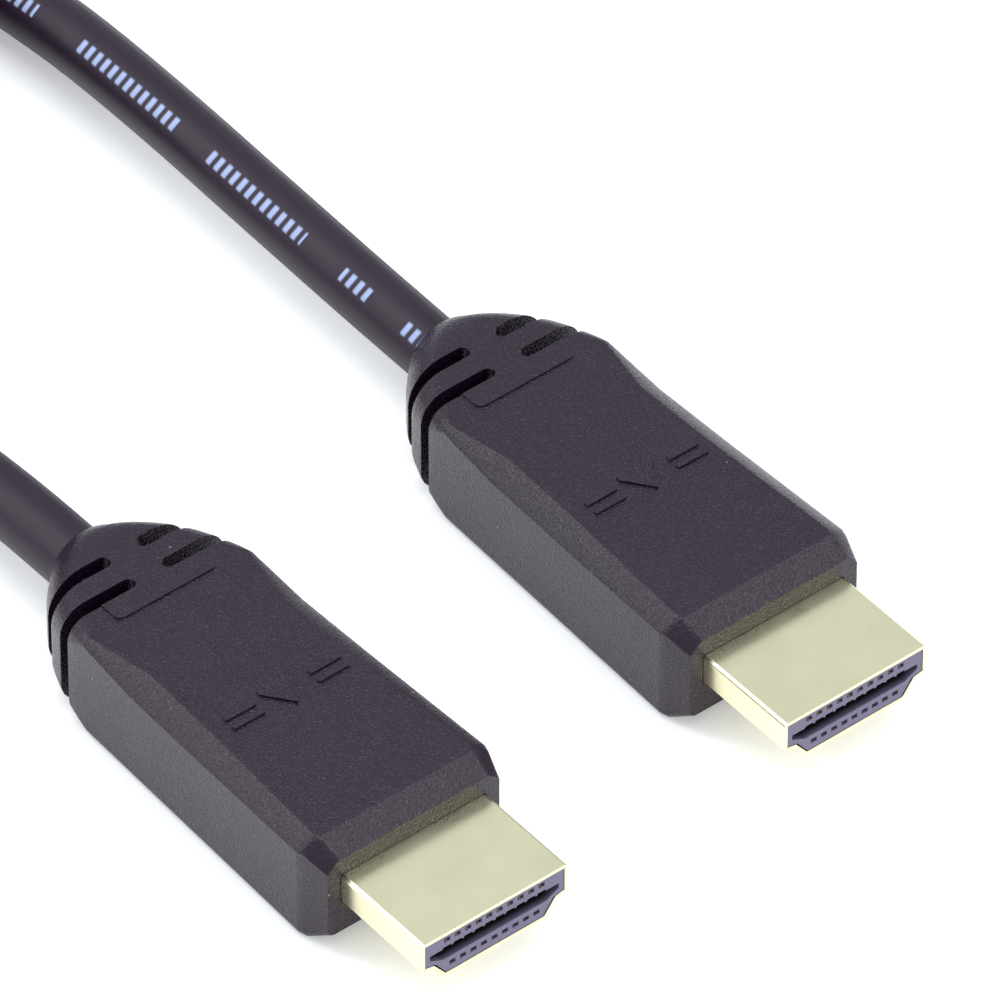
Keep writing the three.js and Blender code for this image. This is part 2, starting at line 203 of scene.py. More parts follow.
def apply_modifier(piece, kind, **settings):
    """Adds a modifier, sets it and applies it."""
    pick(piece)
    bpy.ops.object.modifier_add(type=kind)
    modifier = piece.modifiers[-1]
    for key, value in settings.items():
        setattr(modifier, key, value)
    bpy.ops.object.modifier_apply(modifier=modifier.name)


def combine(piece, other, operation):
    """Cuts another object out of a piece, or adds it, and removes the other."""
    apply_modifier(piece, "BOOLEAN", operation=operation, object=other, solver="EXACT")
    bpy.data.objects.remove(other, do_unlink=True)


def soften(piece, width, degrees=35, segments=2):
    """Rounds a piece's sharp edges."""
    apply_modifier(
        piece,
        "BEVEL",
        width=width,
        segments=segments,
        limit_method="ANGLE",
        angle_limit=math.radians(degrees),
        use_clamp_overlap=True,
    )


def shade(piece, degrees=30):
    """Smooth shading up to an angle, with the large faces kept flat."""
    pick(piece)
    bpy.ops.object.shade_smooth_by_angle(angle=math.radians(degrees))
    apply_modifier(piece, "WEIGHTED_NORMAL", keep_sharp=True)


def settle(piece, finish, slot, *nodes):
    """Gives a piece its finish, hides the nodes that it stands for and hangs it under the root; the
    slot is not used.
    """
    piece.data.materials.clear()
    piece.data.materials.append(finish)
    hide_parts(*nodes)
    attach(piece, "root")
    return piece


def copy_to(piece, name, step):
    """A copy of a piece with its own mesh, moved by a step."""
    twin = piece.copy()
    twin.data = piece.data.copy()
    twin.name = twin.data.name = name
    twin.data.transform(Matrix.Translation(step))
    bpy.context.scene.collection.objects.link(twin)
    return twin


# Shader helpers


def new_finish(name):
    """A material with its node tree and its surface shader."""
    finish = bpy.data.materials.new(name)
    finish.use_nodes = True
    return finish, finish.node_tree, finish.node_tree.nodes["Principled BSDF"]


def add_node(tree, kind, inputs=None, **settings):
    """A shader node with its settings, and its inputs set or linked."""
    made = tree.nodes.new("ShaderNode" + kind)
    for key, value in settings.items():
        setattr(made, key, value)
    for key, value in (inputs or {}).items():
        if isinstance(value, bpy.types.NodeSocket):
            tree.links.new(value, made.inputs[key])
        else:
            made.inputs[key].default_value = value
    return made


def noise(tree, place, scale, detail=2.0, roughness=0.5):
    made = add_node(
        tree, "TexNoise", {"Vector": place, "Scale": scale, "Detail": detail, "Roughness": roughness}
    )
    return made.outputs["Fac"]


def spread(tree, value, low, high, to_low=0.0, to_high=1.0):
    """Stretches a value from one range to another, held at its ends."""
    made = add_node(
        tree,
        "MapRange",
        {"Value": value, "From Min": low, "From Max": high, "To Min": to_low, "To Max": to_high},
    )
    return made.outputs["Result"]


def calculate(tree, operation, first, second=0.0):
    return add_node(tree, "Math", {0: first, 1: second}, operation=operation).outputs[0]


def blend_colours(tree, share, first, second):
    made = add_node(
        tree, "Mix", {"Factor": share, "A": (0, 0, 0, 1), "B": (0, 0, 0, 1)}, data_type="RGBA"
    )
    for socket, value in ((made.inputs[6], first), (made.inputs[7], second)):
        if isinstance(value, bpy.types.NodeSocket):
            tree.links.new(value, socket)
        else:
            socket.default_value = (*value, 1)
    return made.outputs[2]


def relief(tree, surface, height, distance, strength=1.0):
    """Feeds a height into the surface's normal."""
    made = add_node(tree, "Bump", {"Height": height, "Distance": distance, "Strength": strength})
    tree.links.new(made.outputs["Normal"], surface.inputs["Normal"])


def scaled(value, share):
    return tuple(channel * share for channel in value)


def dust(tree, place):
    """Share of light specks of dust, a few to each square centimetre."""
    cells = add_node(tree, "TexVoronoi", {"Vector": place, "Scale": 620.0, "Randomness": 1.0})
    near = spread(tree, cells.outputs["Distance"], 0.035, 0.075, 1.0, 0.0)
    lottery = add_node(tree, "SeparateColor", {"Color": cells.outputs["Color"]})
    drawn = spread(tree, lottery.outputs["Red"], 0.80, 0.82)
    return calculate(tree, "MULTIPLY", near, drawn)


def moulding_finish(colour_value):
    """Soft dark plastic with a fine spark-eroded grain, uneven sheen and dust."""
    finish, tree, surface = new_finish("moulding_plastic")
    place = add_node(tree, "TexCoord").outputs["Object"]
    cloud = noise(tree, place, 140.0, 4.0)
    grain = noise(tree, place, 4600.0, 2.0, 0.6)
    tone = blend_colours(tree, cloud, scaled(colour_value, 0.85), scaled(colour_value, 1.2))
    speck = dust(tree, place)
    tone = blend_colours(tree, calculate(tree, "MULTIPLY", speck, 0.6), tone, (0.55, 0.55, 0.6))
    tree.links.new(tone, surface.inputs["Base Color"])
    sheen = calculate(
        tree,
        "ADD",
        spread(tree, cloud, 0.3, 0.7, 0.0, 0.05),
        spread(tree, grain, 0.35, 0.65, 0.18, 0.34),
    )
    tree.links.new(sheen, surface.inputs["Roughness"])
    surface.inputs["Specular IOR Level"].default_value = 0.45
    relief(tree, surface, calculate(tree, "ADD", grain, speck), 0.00008, 1.0)
    return finish


def plate_finish(colour_value):
    """Pale gold plate with a satin gleam."""
    finish, tree, surface = new_finish("pale_gold_plate")
    place = add_node(tree, "TexCoord").outputs["Object"]
    mottle = noise(tree, place, 5200.0, 3.0, 0.6)
    cloud = noise(tree, place, 260.0, 3.0)
    tone = blend_colours(tree, cloud, scaled(colour_value, 0.95), colour_value)
    tree.links.new(tone, surface.inputs["Base Color"])
    surface.inputs["Metallic"].default_value = 1.0
    tree.links.new(spread(tree, cloud, 0.3, 0.7, 0.25, 0.3), surface.inputs["Roughness"])
    relief(tree, surface, mottle, 0.000002, 0.4)
    return finish


def insulator_finish(name, colour_value, front):
    """Grey moulded plastic with a fine mottle, and painted shade that turns it dark brown down in its
    slot and openings.
    """
    finish, tree, surface = new_finish(name)
    place = add_node(tree, "TexCoord").outputs["Object"]
    mottle = noise(tree, place, 3200.0, 3.0, 0.6)
    tone = blend_colours(tree, mottle, scaled(colour_value, 0.82), scaled(colour_value, 1.18))
    # Painted shade: the colour goes dark brown from just behind the front face, deeper into the slot
    # and openings
    depth = add_node(tree, "SeparateXYZ", {"Vector": place}).outputs["Y"]
    inside = spread(tree, depth, front + 0.00008, front + 0.0007)
    tone = blend_colours(tree, inside, tone, (0.014, 0.008, 0.009))
    tree.links.new(tone, surface.inputs["Base Color"])
    tree.links.new(spread(tree, mottle, 0.3, 0.7, 0.42, 0.55), surface.inputs["Roughness"])
    relief(tree, surface, mottle, 0.00002, 0.5)
    return finish


def contact_finish(colour_value):
    """Gold plate on a small stamped contact."""
    finish, tree, surface = new_finish("contact_gold")
    place = add_node(tree, "TexCoord").outputs["Object"]
    mottle = noise(tree, place, 6000.0, 2.0)
    tone = blend_colours(tree, mottle, scaled(colour_value, 0.85), colour_value)
    tree.links.new(tone, surface.inputs["Base Color"])
    surface.inputs["Metallic"].default_value = 1.0
    tree.links.new(spread(tree, mottle, 0.3, 0.7, 0.2, 0.35), surface.inputs["Roughness"])
    relief(tree, surface, mottle, 0.000005, 0.5)
    return finish


def within(tree, value, low, high, soft):
    """One between two limits and nothing outside them, with soft ends."""
    rise = spread(tree, value, low - soft, low + soft)
    fall = spread(tree, value, high - soft, high + soft, 1.0, 0.0)
    return calculate(tree, "MULTIPLY", rise, fall)


def length_ticks(tree, run, around):
    """Groups of short ticks printed across the jacket's upper left side, as on a measuring line."""
    printed = 0.0
    for start, stop in INK_GROUPS:
        group = within(tree, run, start * MM, stop * MM, 0.00004)
        printed = calculate(tree, "MAXIMUM", printed, group)
    phase = calculate(tree, "FRACT", calculate(tree, "DIVIDE", run, 0.001))
    ticks = within(tree, phase, 0.2, 0.72, 0.09)
    band = within(tree, around, 0.052, 0.118, 0.006)
    return calculate(tree, "MULTIPLY", calculate(tree, "MULTIPLY", printed, ticks), band)


def jacket_finish(colour_value, ink_colour, cord_length):
    """Satin extruded jacket with fine drawn lines, and pale length ticks on one side."""
    finish, tree, surface = new_finish("jacket_plastic")
    coordinates = add_node(tree, "TexCoord")
    place = coordinates.outputs["Object"]
    along = add_node(tree, "SeparateXYZ", {"Vector": coordinates.outputs["UV"]})
    run = calculate(tree, "MULTIPLY", along.outputs["X"], cord_length)
    around = along.outputs["Y"]
    drawn = add_node(
        tree,
        "CombineXYZ",
        {"X": calculate(tree, "MULTIPLY", run, 30.0), "Y": calculate(tree, "MULTIPLY", around, 42.0)},
    ).outputs["Vector"]
    lines = noise(tree, drawn, 1.0, 3.0, 0.6)
    grain = noise(tree, place, 4200.0, 2.0)
    cloud = noise(tree, place, 90.0, 2.0)
    tone = blend_colours(tree, cloud, scaled(colour_value, 0.85), scaled(colour_value, 1.25))
    ink = calculate(tree, "MULTIPLY", length_ticks(tree, run, around), 0.85)
    tone = blend_colours(tree, ink, tone, ink_colour)
    tree.links.new(tone, surface.inputs["Base Color"])
    tree.links.new(spread(tree, cloud, 0.3, 0.7, 0.42, 0.5), surface.inputs["Roughness"])
    surface.inputs["Specular IOR Level"].default_value = 0.4
    height = calculate(
        tree, "ADD", calculate(tree, "MULTIPLY", lines, 0.6), calculate(tree, "MULTIPLY", grain, 0.4)
    )
    relief(tree, surface, height, 0.00003, 0.6)
    return finish


def strap_finish(colour_value):
    """Woven strap: crossed threads in three directions, with a soft sheen."""
    finish, tree, surface = new_finish("strap_weave")
    place = add_node(tree, "TexCoord").outputs["Object"]
    threads = [
        add_node(
            tree,
            "TexWave",
            {"Vector": place, "Scale": 420.0, "Distortion": 1.2, "Detail": 1.0, "Detail Scale": 3.0},
            bands_direction=direction,
        ).outputs["Fac"]
        for direction in ("X", "Y", "Z")
    ]
    crossed = calculate(tree, "ADD", calculate(tree, "ADD", threads[0], threads[1]), threads[2])
    weave = calculate(tree, "MULTIPLY", crossed, 0.33)
    fluff = noise(tree, place, 2600.0, 3.0)
    tone = blend_colours(tree, weave, scaled(colour_value, 0.6), scaled(colour_value, 1.7))
    loose = spread(tree, fluff, 0.45, 0.75, 0.0, 0.4)
    tone = blend_colours(tree, loose, tone, scaled(colour_value, 2.6))
    tree.links.new(tone, surface.inputs["Base Color"])
    surface.inputs["Roughness"].default_value = 0.85
    surface.inputs["Sheen Weight"].default_value = 0.4
    surface.inputs["Sheen Roughness"].default_value = 0.5
    relief(tree, surface, weave, 0.00016, 0.8)
    return finish


def floor_finish(colour_value):
    """Plain matt floor."""
    finish, tree, surface = new_finish("studio_floor")
    surface.inputs["Base Color"].default_value = (*colour_value, 1)
    surface.inputs["Roughness"].default_value = 0.9
    surface.inputs["Specular IOR Level"].default_value = 0.1
    surface.inputs["Emission Color"].default_value = (*colour_value, 1)
    surface.inputs["Emission Strength"].default_value = 0.35
    return finish


# The stage


def view_direction(azimuth, elevation):
    """From the object to the camera, by degrees round it and above the horizon."""
    turn, rise = math.radians(azimuth), math.radians(elevation)
    return Vector((math.sin(turn) * math.cos(rise), -math.cos(turn) * math.cos(rise), math.sin(rise)))


def add_softbox(name, aim, direction, distance, size, turn, power):
    """A soft rectangular light that faces a point."""
    data = bpy.data.lights.new(name, "AREA")
    data.shape = "RECTANGLE"
    data.size, data.size_y = size
    data.energy = power
    lamp = bpy.data.objects.new(name, data)
    lamp.location = aim + direction.normalized() * distance
    facing = direction.to_track_quat("Z", "Y").to_matrix().to_4x4()
    lamp.matrix_world = Matrix.Translation(lamp.location) @ facing @ Matrix.Rotation(turn, 4, "Z")
    bpy.context.scene.collection.objects.link(lamp)


class CABLE_OT_stage(bpy.types.Operator):
    """Makes the floor, the studio light and the camera"""

    bl_idname = "cable.stage"
    bl_label = "Stage"

    def execute(self, context):
        finishes = context.scene.cable_finishes
        bpy.ops.object.select_all(action="DESELECT")
        bpy.ops.mesh.primitive_plane_add(size=6, location=(0, 0, 0))
        floor = context.object
        floor.name = "floor"
        floor.data.materials.append(floor_finish(tuple(finishes.floor)))

        world = bpy.data.worlds.new("studio")
        world.use_nodes = True
        sky = world.node_tree.nodes["Background"]
        sky.inputs["Color"].default_value = (0.86, 0.93, 1.0, 1)
        sky.inputs["Strength"].default_value = 0.75
        context.scene.world = world
        context.scene.view_settings.view_transform = "Standard"

        aim = Vector((0.004, 0.01, 0.005))
        along = math.radians(-37.6)
        add_softbox("overhead_strip", aim, Vector((0.035, 0.205, 1)), 1.2, (2.4, 0.3), along, 13)
        add_softbox("left_fill", aim, Vector((-0.68, 0.56, 0.45)), 1.2, (0.7, 0.4), 0, 2.5)
        add_softbox("front_fill", aim, Vector((0.457, -0.688, 0.564)), 1.2, (0.5, 0.3), 0, 1.5)

        target = Vector((14.66, 14.09, -0.16)) * MM
        camera = bpy.data.objects.new("camera", bpy.data.cameras.new("camera"))
        azimuth, elevation, distance = -38.99, 43.44, 1.0785
        camera.location = target + view_direction(azimuth, elevation) * distance
        camera.rotation_euler = (math.radians(90 - elevation), 0, math.radians(azimuth))
        camera.data.sensor_width = 36
        camera.data.lens = 504
        camera.data.clip_end = 20
        camera.data.dof.use_dof = False
        context.scene.collection.objects.link(camera)
        context.scene.camera = camera
        return {"FINISHED"}


# The cable

# Places on the cable's line, in millimetres
PLUG_X = 17.9
AXIS_Z = 4.9
POINT_SPACING = 2.6
COIL_CENTRE = (-23.2, 102.05)
COIL_TURNS = 20 / 3
STEPS_A_TURN = 48
# The share of the coil where the cable starts to climb to the upper layer, and the share it takes
CLIMB_STARTS, CLIMB_RUN = 0.47, 0.06
# Eases the turn from winding inwards to winding outwards
EASING = 0.0004
# Where the strap crosses the coil, how far the turns rise over it there, and over which angles
STRAP_AT = 90
STRAP_LIFT = 0.5
LIFT_STARTS, LIFT_RUN = 34, 22
LEAD_A_ROUTE = [
    (PLUG_X, 24.15, AXIS_Z),
    (PLUG_X + 0.15, 35.5, AXIS_Z),
    (PLUG_X + 0.45, 48.5, AXIS_Z),
    (PLUG_X + 0.8, 60.5, 4.8),
    (PLUG_X + 0.95, 72.5, 4.4),
    (PLUG_X + 0.7, 82.5, 3.6),
    (PLUG_X + 0.25, 91.5, 3),
    (PLUG_X, 102.05, 2.75),
]
LEAD_B_ROUTE = [
    (-PLUG_X, 23.05, AXIS_Z),
    (-PLUG_X, 30.5, 4.8),
    (-17.95, 35, 4.6),
    (-18.3, 40.5, 4.4),
    (-19.7, 45.2, 4.4),
    (-21.9, 49.5, 4.6),
    (-24.9, 53.5, 5),
    (-28.5, 57.1, 5.7),
    (-32.7, 60, 6.4),
    (-37.9, 62.9, 7.4),
    (-44, 66.46, 8.25),
]
# Printed stretches of the jacket, in millimetres from the end in plug a
INK_GROUPS = [(1.3, 3.8), (8.2, 11.6), (16.5, 28.9), (33.1, 46.0), (51.4, 63.0)]


def mix(low, high, share):
    return low + (high - low) * share


def smooth_step(value):
    value = min(max(value, 0.0), 1.0)
    return value * value * (3 - 2 * value)


def through(points, steps=12):
    """A smooth line through points: centripetal Catmull-Rom, as fine as the steps."""
    points = [Vector(point) for point in points]
    ends = [points[0] * 2 - points[1], *points, points[-1] * 2 - points[-2]]
    line = []
    for first, start, stop, last in zip(ends, ends[1:], ends[2:], ends[3:]):
        knots = [0.0]
        for before, after in ((first, start), (start, stop), (stop, last)):
            knots.append(knots[-1] + math.sqrt((after - before).length))
        for step in range(steps):
            at = knots[1] + (knots[2] - knots[1]) * step / steps
            level = [first, start, stop, last]
            for pairs in (((0, 1), (1, 2), (2, 3)), ((0, 2), (1, 3)), ((1, 2),)):
                level = [
                    before.lerp(after, (at - knots[low]) / (knots[high] - knots[low]))
                    for (low, high), before, after in zip(pairs, level, level[1:])
                ]
            line.append(level[0])
    line.append(points[-1])
    return line


def evenly(line, spacing):
    """The same line with points an even distance apart."""
    total = sum((after - before).length for before, after in zip(line, line[1:]))
    count = max(2, round(total / spacing))
    step, made, left = total / count, [line[0].copy()], total / count
    for before, after in zip(line, line[1:]):
        span = (after - before).length
        done = 0.0
        while span - done > left and len(made) < count:
            done += left
            made.append(before.lerp(after, done / span))
            left = step
        left -= span - done
    made.append(line[-1].copy())
    return made


def coil_line(sizes):
    """The coil's turns, wound inwards in one layer and outwards on top of it."""
    radius = sizes.diameter / MM / 2
    inner = sizes.inner_turn / MM
    reach = COIL_TURNS / 2 * sizes.turn_spacing / MM
    line = []
    steps = round(COIL_TURNS * STEPS_A_TURN)
    for index in range(steps + 1):
        share = index / steps
        turn = share * COIL_TURNS * 2 * math.pi
        from_middle = math.sqrt((1 - 2 * share) ** 2 + EASING) / math.sqrt(1 + EASING)
        across = inner + reach * from_middle
        climb = smooth_step((share - CLIMB_STARTS) / CLIMB_RUN)
        from_strap = abs((math.degrees(turn) - STRAP_AT + 180) % 360 - 180)
        lift = STRAP_LIFT * smooth_step((LIFT_STARTS - from_strap) / LIFT_RUN)
        height = radius + 2 * radius * climb + lift
        line.append(
            Vector(
                (
                    COIL_CENTRE[0] + across * math.cos(turn),
                    COIL_CENTRE[1] + across * math.sin(turn),
                    height,
                )
            )
        )
    return line


class CABLE_OT_cord(bpy.types.Operator):
    """Lays the cable from one plug round its coil to the other plug"""

    bl_idname = "cable.cord"
    bl_label = "Cable"

    def execute(self, context):
        sizes, finishes = context.scene.cable_cord, context.scene.cable_finishes
        line = through(LEAD_A_ROUTE)[:-1] + coil_line(sizes)[:-1] + through(LEAD_B_ROUTE)[::-1]
        path = [point * MM for point in evenly(line, POINT_SPACING)]
        data = bpy.data.curves.new("cable", "CURVE")
        data.dimensions = "3D"
        data.twist_mode = "Z_UP"
        data.bevel_depth = sizes.diameter / 2
        data.bevel_resolution = 6
        data.use_fill_caps = True
        spline = data.splines.new("POLY")
        spline.points.add(len(path) - 1)
        for point, place in zip(spline.points, path):
            point.co = (*place, 1)
        cord = bpy.data.objects.new("cable", data)
        context.scene.collection.objects.link(cord)
        pick(cord)
        bpy.ops.object.convert(target="MESH")
        cord = context.object
        cord.name = cord.data.name = "cable"
        shade(cord, 60)
        laid = sum((after - before).length for before, after in zip(path, path[1:]))
        jacket = jacket_finish(tuple(finishes.jacket), tuple(finishes.ink), laid)
        settle(cord, jacket, "jacket", "cable_lead_a", "cable_lead_b", "cable_coil")
        bpy.ops.cable.strap()
        return {"FINISHED"}


def strap_path(thickness):
    """The strap's line round the bundle, in millimetres from the coil's axis and up."""
    near, far, low, high = 18.93, 44.33, 0.35, 11.75
    corner = 2.6
    centres = [
        ((far - corner, high - corner), 90, 0),
        ((far - corner, low + corner), 0, -90),
        ((near + corner, low + corner), -90, -180),
        ((near + corner, high - corner), 180, 90),
    ]
    line = [(29.2, high), (33.2, high), (37.2, high)]
    for (across, up), start, stop in centres:
        for step in range(7):
            turn = math.radians(start + (stop - start) * step / 6)
            line.append((across + corner * math.cos(turn), up + corner * math.sin(turn)))
    over = high + thickness
    line += [(23.7, high), (26.2, high + 0.05), (28.2, over), (32.2, over), (36.2, over), (39.7, over)]
    return line


class CABLE_OT_strap(bpy.types.Operator):
    """Winds a woven strap round the coil, its end lying over its start"""

    bl_idname = "cable.strap"
    bl_label = "Strap"

    def execute(self, context):
        sizes, finishes = context.scene.cable_cord, context.scene.cable_finishes
        thickness = sizes.strap_thickness / MM
        line = [
            Vector((COIL_CENTRE[0], COIL_CENTRE[1] + across, up)) * MM
            for across, up in strap_path(thickness)
        ]
        half = sizes.strap_width / 2
        bpy.ops.object.select_all(action="DESELECT")
        bpy.ops.mesh.primitive_plane_add(size=1, location=(0, 0, 0))
        strap = context.object
        strap.name = strap.data.name = "coil_strap"
        edit(strap)
        choose("VERT", lambda vertex: vertex.co.y < 0)
        bpy.ops.mesh.delete(type="VERT")
        bpy.ops.mesh.select_all(action="SELECT")
        bpy.ops.transform.resize(value=(2 * half, 1, 1), center_override=(0, 0, 0))
        bpy.ops.transform.translate(value=line[0] - Vector((0, 0.5, 0)))
        for before, after in zip(line, line[1:]):
            bpy.ops.mesh.extrude_region_move(TRANSFORM_OT_translate={"value": after - before})
        choose("EDGE", lambda edge: runs_along(edge, 0) and (middle(edge) - line[-1]).length < 1e-5)
        bpy.ops.transform.resize(value=(0.8, 1, 1), center_override=line[-1])
        leave_edit()
        apply_modifier(strap, "SOLIDIFY", thickness=sizes.strap_thickness * 0.95, offset=0)
        soften(strap, 0.0001, 50)
        shade(strap, 40)
        settle(strap, strap_finish(tuple(finishes.strap)), "tie", "coil_tie")
        return {"FINISHED"}


# The plugs


# Profiles of cut corners: nearly straight, and round
STRAIGHTISH = 0.3
ROUND = 0.5
# The relief's sections, and half its width and height where it meets the cable
RELIEF_RINGS = 14
RELIEF_END = 0.003


def add_ring(centre, half_width, half_height, upper, lower, corner_steps=7):
    """One upright ring round the plug's axis, its upper and lower corners cut or rounded."""
    bpy.ops.mesh.select_mode(type="VERT")
    bpy.ops.mesh.select_all(action="DESELECT")
    bpy.ops.mesh.primitive_plane_add(size=1, location=centre, rotation=(math.pi / 2, 0, 0))
    bpy.ops.transform.resize(value=(2 * half_width, 1, 2 * half_height), center_override=centre)

    def here(vertex):
        return abs(vertex.co.y - centre.y) < 1e-6

    for above, (width, height, profile) in ((True, upper), (False, lower)):
        stretch = width / height
        choose("VERT", here)
        bpy.ops.transform.resize(value=(1, 1, stretch), center_override=centre)
        choose(
            "VERT",
            lambda vertex: here(vertex)
            and abs(abs(vertex.co.x - centre.x) - half_width) < 1e-6
            and abs(abs(vertex.co.z - centre.z) - half_height * stretch) < 1e-6
            and (vertex.co.z > centre.z) == above,
        )
        bpy.ops.mesh.bevel(
            offset_type="OFFSET",
            offset=width,
            segments=corner_steps,
            profile=profile,
            affect="VERTICES",
            clamp_overlap=False,
        )
        choose("VERT", here)
        bpy.ops.transform.resize(value=(1, 1, 1 / stretch), center_override=centre)


def join_rings(before, after):
    """Bridges the two rings at two places along the axis."""
    choose(
        "EDGE",
        lambda edge: any(all(abs(v.co.y - y) < 1e-6 for v in edge.verts) for y in (before, after)),
    )
    bpy.ops.mesh.bridge_edge_loops()


def moulding_rings(sizes):
    """Sections of the moulding from nose to cable: place, lift, half sizes and corners."""
    start = MOULDING_FRONT
    square = (0.0007, 0.0007, ROUND)
    at_top = sizes.nose_length / sizes.corner_length
    rings = [
        (
            start,
            sizes.nose_lift,
            sizes.nose_width / 2,
            sizes.nose_height / 2,
            (0.0011, 0.001, STRAIGHTISH),
            square,
        ),
        (
            start + sizes.nose_length,
            0,
            mix(sizes.nose_width, sizes.front_width, at_top) / 2,
            sizes.height / 2,
            (sizes.edge_width, sizes.edge_height, STRAIGHTISH),
            square,
        ),
        (
            start + sizes.corner_length,
            0,
            sizes.front_width / 2,
            sizes.height / 2,
            (sizes.edge_width, sizes.edge_height, STRAIGHTISH),
            square,
        ),
    ]
    rear = start + sizes.block_length
    # Between nose and relief the block tapers and its upper bevels grow
    for share, fullness in ((0.25, 1.1), (0.5, 1.2), (0.78, 1.2)):
        rings.append(
            (
                mix(start + sizes.corner_length, rear, share),
                0,
                mix(sizes.front_width, sizes.rear_width, share) / 2,
                sizes.height / 2,
                (sizes.edge_width * fullness, sizes.edge_height * fullness, STRAIGHTISH),
                square,
            )
        )
    rings.append((rear, 0, sizes.rear_width / 2, sizes.height / 2, (0.0006, 0.0006, 0.35), square))
    for index in range(1, RELIEF_RINGS + 1):
        along = math.sin(index / RELIEF_RINGS * math.pi / 2)
        wide = (1 - along**2.5) ** 1.1
        tall = (1 - along**8) ** 0.6
        half_width = mix(RELIEF_END, sizes.rear_width / 2, wide)
        half_height = mix(RELIEF_END, sizes.height / 2, tall)
        corner = min(0.0042 * math.sqrt(along), 0.995 * min(half_width, half_height))
        lower = mix(0.5, 0.37, along)
        rings.append(
            (
                rear + sizes.relief_length * along,
                0,
                half_width,
                half_height,
                (corner, corner, ROUND),
                (corner, corner, lower),
            )
        )
    return rings


# The relief's slots: their distances behind the block, and the spine and core that they leave
SLOT_DISTANCES = (0.0027, 0.0058)
SPINE_LEFT, SPINE_RIGHT = 0.00115, 0.00155
CORE_RADIUS = 0.0029


def add_slot_cutters(sizes, rear):
    """Cutters for the relief's slots: round inner ends, and nothing within its core."""
    left, right = PLUG_AXIS.x - SPINE_LEFT, PLUG_AXIS.x + SPINE_RIGHT
    half = sizes.slot_width / 2
    cutter = None
    for distance in SLOT_DISTANCES:
        for inner, outer in ((left, left - 0.012), (right, right + 0.012)):
            low = (min(inner, outer), rear + distance - half, -0.002)
            high = (max(inner, outer), rear + distance + half, 0.013)
            if cutter is None:
                cutter = block("slot_cutter", low, high)
                edit(cutter)
            else:
                more_block(low, high)
    inner_ends = (left, right)
    choose(
        "EDGE",
        lambda edge: runs_along(edge, 2) and any(abs(middle(edge).x - x) < 1e-5 for x in inner_ends),
    )
    round_edges(0.98 * half, 6)
    leave_edit()
    bpy.ops.object.select_all(action="DESELECT")
    bpy.ops.mesh.primitive_cylinder_add(
        vertices=40,
        radius=CORE_RADIUS,
        depth=0.02,
        location=(PLUG_AXIS.x, rear + 0.005, PLUG_AXIS.z),
        rotation=(math.pi / 2, 0, 0),
    )
    core = bpy.context.object
    bpy.ops.object.transform_apply(location=True, rotation=True, scale=True)
    combine(cutter, core, "DIFFERENCE")
    return cutter


def add_marks(sizes, top):
    """A raised chevron that points to the tip, with two thin bars on each side of it."""
    x, y = PLUG_AXIS.x + 0.0003, TIP_Y + 0.0252
    low, high = top - 0.0004, top + sizes.mark_height
    stroke = 0.0002
    bar_start, bar_end, bar_row = 0.0026, 0.0055, 0.00055
    arm_reach, arm_rise = 0.0018, 0.0012
    marks = None
    for side in (-1, 1):
        for row in (-bar_row, bar_row):
            inner, outer = x + side * bar_start, x + side * bar_end
            corners = (
                (min(inner, outer), y + row - stroke, low),
                (max(inner, outer), y + row + stroke, high),
            )
            if marks is None:
                marks = block("marks", *corners)
                edit(marks)
            else:
                more_block(*corners)
    leave_edit()
    chevron = block(
        "chevron", (x - arm_reach, y + arm_rise - stroke, low), (x, y + arm_rise + stroke, high)
    )
    edit(chevron)
    choose("VERT", lambda vertex: vertex.co.x > x - 1e-5)
    bpy.ops.transform.translate(value=(0, -2 * arm_rise, 0))
    choose("FACE", lambda face: face.normal.x > 0.9)
    bpy.ops.mesh.extrude_region_move(
        TRANSFORM_OT_translate={"value": (arm_reach, 2 * arm_rise, 0)}
    )
    leave_edit()
    pick(chevron)
    marks.select_set(True)
    bpy.context.view_layer.objects.active = marks
    bpy.ops.object.join()
    return marks


def add_tab(sizes, rear, top):
    """The thin pad on top of the relief, ahead of its first slot."""
    left, right, depth = PLUG_AXIS.x - 0.00475, PLUG_AXIS.x + 0.0048, 0.0027
    tab = block(
        "tab", (left, rear, top - 0.0005), (right, rear + depth, top + sizes.tab_height)
    )
    edit(tab)
    choose("EDGE", lambda edge: runs_along(edge, 2) and middle(edge).y < rear + 0.001)
    round_edges(0.0006, 5)
    leave_edit()
    return tab


def add_folded_form(name, sizes, low_y, high_y, grow, fold_radius):
    """The plug's outline pulled along its axis: upright sides, a step in, and slanting corners."""
    half = (SHELL_HIGH.x - SHELL_LOW.x) / 2 + grow
    top = SHELL_HIGH.z + grow
    sides = top - sizes.side_height - grow * 1.8
    axis = PLUG_AXIS.x
    form = block(name, (axis - half, low_y, sides), (axis + half, high_y, top))
    edit(form)
    steps = (
        (sizes.step_drop, half - sizes.step_width),
        (None, sizes.floor_width / 2 + grow * 0.75),
    )
    down, wide = sides, half
    for drop, to_half in steps:
        next_down = SHELL_LOW.z - grow if drop is None else down - drop
        choose("FACE", lambda face: face.normal.z < -0.9 and abs(middle(face).z - down) < 1e-6)
        bpy.ops.mesh.extrude_region_move(TRANSFORM_OT_translate={"value": (0, 0, next_down - down)})
        bpy.ops.transform.resize(
            value=(to_half / wide, 1, 1), center_override=(axis, (low_y + high_y) / 2, next_down)
        )
        down, wide = next_down, to_half
    choose("EDGE", lambda edge: runs_along(edge, 1) and middle(edge).z > top - 1e-6)
    round_edges(fold_radius, 5)
    choose(
        "EDGE",
        lambda edge: runs_along(edge, 1)
        and (middle(edge).z < sides + 1e-6)
        and (middle(edge).z > sides - 1e-6 or middle(edge).z < SHELL_LOW.z - grow + 1e-6),
    )
    round_edges(fold_radius * 0.6, 4)
    leave_edit()
    return form


